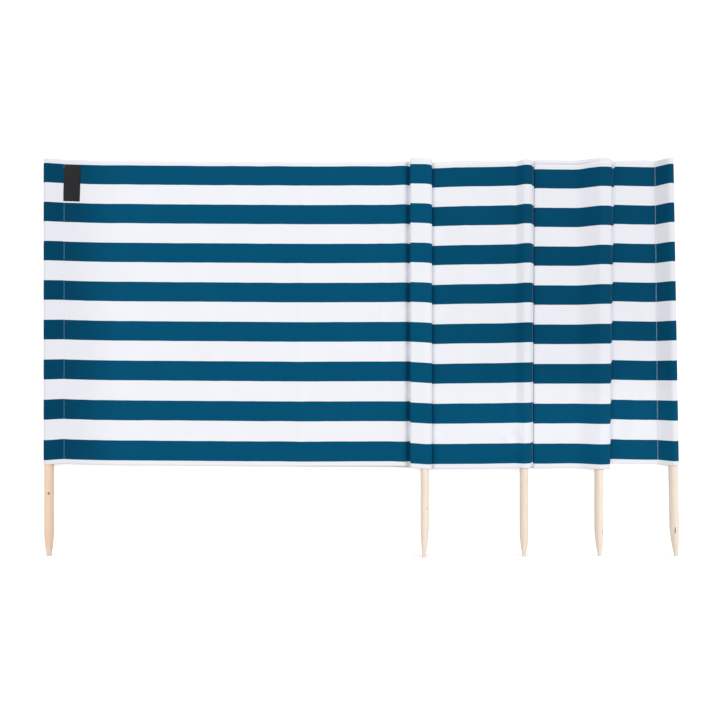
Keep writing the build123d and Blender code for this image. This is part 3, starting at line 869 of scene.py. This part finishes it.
def woven_satin_tape():
    """Black satin tape: fine ribs across it, with a slight gloss along each."""
    made = empty_material("woven_black_satin_tape")
    tree = made.node_tree
    flat = add(tree, "UVMap", uv_map="cloth").outputs[0]
    ribs = add(tree, "TexWave", {
        "Vector": flat, "Scale": math.tau / 20 / RIB_STEP, "Distortion": 0.6, "Detail": 1.0},
        wave_type="BANDS", bands_direction="Y").outputs["Fac"]
    colour = add(tree, "Mix", {0: ribs, 6: linear(RIB_SHADE), 7: linear(RIB_LIGHT)},
                 data_type="RGBA").outputs[2]
    bump = add(tree, "Bump", {"Height": ribs, "Strength": 0.6, "Distance": 0.08 * MM}).outputs[0]
    finish = add(tree, "BsdfPrincipled", {
        "Base Color": colour, "Roughness": 0.55, "Normal": bump, "IOR": 1.5,
        "Specular IOR Level": 0.12, "Sheen Weight": 0.02})
    add(tree, "OutputMaterial", {"Surface": finish.outputs[0]})
    return made


def sew_label():
    """Tab that follows the cloth below it, raised inside its turned edge."""
    points, flats = [], []
    below = {key: bay_1_columns[key][at_stitch_1:] for key in ("x", "y", "wave")}
    for r in range(LABEL_ROWS):
        for c in range(LABEL_COLUMNS):
            across = (c / (LABEL_COLUMNS - 1) - 0.5) * LABEL_WIDTH
            up = (r / (LABEL_ROWS - 1) - 0.5) * LABEL_HEIGHT
            x = LABEL_MIDDLE[0] + across * math.cos(LABEL_TILT) + up * math.sin(LABEL_TILT)
            z = LABEL_MIDDLE[1] + up * math.cos(LABEL_TILT) - across * math.sin(LABEL_TILT)
            carried = np.interp(x, below["x"], below["y"])
            carried -= np.interp(x, below["x"], below["wave"]) * unevenness(x, z)
            inside = min(LABEL_WIDTH / 2 - abs(across), LABEL_HEIGHT / 2 - abs(up))
            pillow = PILLOW_RISE * min(1.0, inside / PILLOW_EDGE)
            y = carried - CLOTH_THICKNESS / 2 - LABEL_THICKNESS / 2 - LABEL_GAP - pillow
            points.append((x * MM, y * MM, z * MM))
            flats.append((across * MM, up * MM))
    tab = cut_cloth("label_tab_cloth", points, flats, LABEL_COLUMNS, LABEL_THICKNESS,
                    woven_satin_tape())
    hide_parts("label_tab")


sew_label()


# Studio
# A white floor and a white wall close behind the windbreak that take its soft shadow.
# One broad lamp stands to the right, a weaker one to the left, and the room gives an even light.
STUDIO_REACH = 30
WALL_Y = cad_box[1][1] + 1.2 * MM
WALL_GLOW = 0.45
FLOOR_GLOW = 0.3
LAMP_SPREAD = math.radians(30)
ROOM_LIGHT = 0.455


def studio_white(name, glow):
    """Matt white that only the camera sees, and only from its front."""
    made = empty_material(name)
    tree = made.node_tree
    eye = add(tree, "LightPath").outputs["Is Camera Ray"]
    rear = add(tree, "NewGeometry").outputs["Backfacing"]
    front = add(tree, "Math", {0: 1.0, 1: rear}, operation="SUBTRACT").outputs[0]
    seen = add(tree, "Math", {0: eye, 1: front}, operation="MULTIPLY").outputs[0]
    matt = add(tree, "BsdfDiffuse", {"Color": linear("FFFFFF")}).outputs[0]
    light = add(tree, "Emission", {"Color": linear("FFFFFF"), "Strength": glow}).outputs[0]
    white = add(tree, "AddShader", {0: matt, 1: light}).outputs[0]
    clear = add(tree, "BsdfTransparent").outputs[0]
    surface = add(tree, "MixShader", {0: seen, 1: clear, 2: white}).outputs[0]
    add(tree, "OutputMaterial", {"Surface": surface})
    return made


def studio_plane(name, left, right, glow):
    """Wide rectangle between its left and its right pair of corners."""
    white = studio_white(name + "_white", glow)
    make_mesh(name, [left[0], right[0], right[1], left[1]], [(0, 1, 2, 3)], white)


studio_plane("wall", [(-STUDIO_REACH, WALL_Y, z) for z in (0, STUDIO_REACH)],
             [(STUDIO_REACH, WALL_Y, z) for z in (0, STUDIO_REACH)], WALL_GLOW)
studio_plane("floor", [(-STUDIO_REACH, y, 0) for y in (-STUDIO_REACH, WALL_Y)],
             [(STUDIO_REACH, y, 0) for y in (-STUDIO_REACH, WALL_Y)], FLOOR_GLOW)


def broad_lamp(name, across, up, energy):
    """Distant soft lamp: degrees to the right of the cloth's front, and above it."""
    lamp = bpy.data.lights.new(name, "SUN")
    lamp.energy = energy
    lamp.angle = LAMP_SPREAD
    stand = bpy.data.objects.new(name, lamp)
    right, high = math.radians(across), math.radians(up)
    toward = (math.sin(right) * math.cos(high), -math.cos(right) * math.cos(high), math.sin(high))
    stand.rotation_euler = Vector(toward).to_track_quat("Z", "Y").to_euler()
    bpy.context.scene.collection.objects.link(stand)


broad_lamp("right_lamp", across=45, up=22, energy=1.35)
broad_lamp("left_lamp", across=-35, up=22, energy=1.1)

world = bpy.data.worlds.new("studio")
world.use_nodes = True
tree = world.node_tree
tree.nodes.clear()
path = add(tree, "LightPath").outputs
seen = add(tree, "Math", {0: path["Is Camera Ray"], 1: path["Is Glossy Ray"]}, operation="ADD")
seen = add(tree, "Math", {0: seen.outputs[0], 1: path["Is Transmission Ray"]}, operation="ADD",
           use_clamp=True).outputs[0]
room = add(tree, "Background", {"Color": linear("FFFFFF"), "Strength": ROOM_LIGHT}).outputs[0]
white = add(tree, "Background", {"Color": linear("FFFFFF"), "Strength": 1.0}).outputs[0]
mixed = add(tree, "MixShader", {0: seen, 1: room, 2: white}).outputs[0]
add(tree, "OutputWorld", {"Surface": mixed})
bpy.context.scene.world = world
bpy.context.scene.view_settings.view_transform = "Standard"

# Camera
# Level and square to the cloth, as far off as the photograph's own perspective says.
CAMERA_PLACE = (0.8174, -1.4078, 0.5146)
# Half the width in view at a distance, both in millimetres
SEEN_HALF_WIDTH = 954.2
SEEN_DISTANCE = 1419
camera = bpy.data.cameras.new("camera")
camera.angle = 2 * math.atan(SEEN_HALF_WIDTH / SEEN_DISTANCE)
camera_object = bpy.data.objects.new("camera", camera)
camera_object.location = CAMERA_PLACE
camera_object.rotation_euler = (math.pi / 2, 0, 0)
bpy.context.scene.collection.objects.link(camera_object)
bpy.context.scene.camera = camera_object
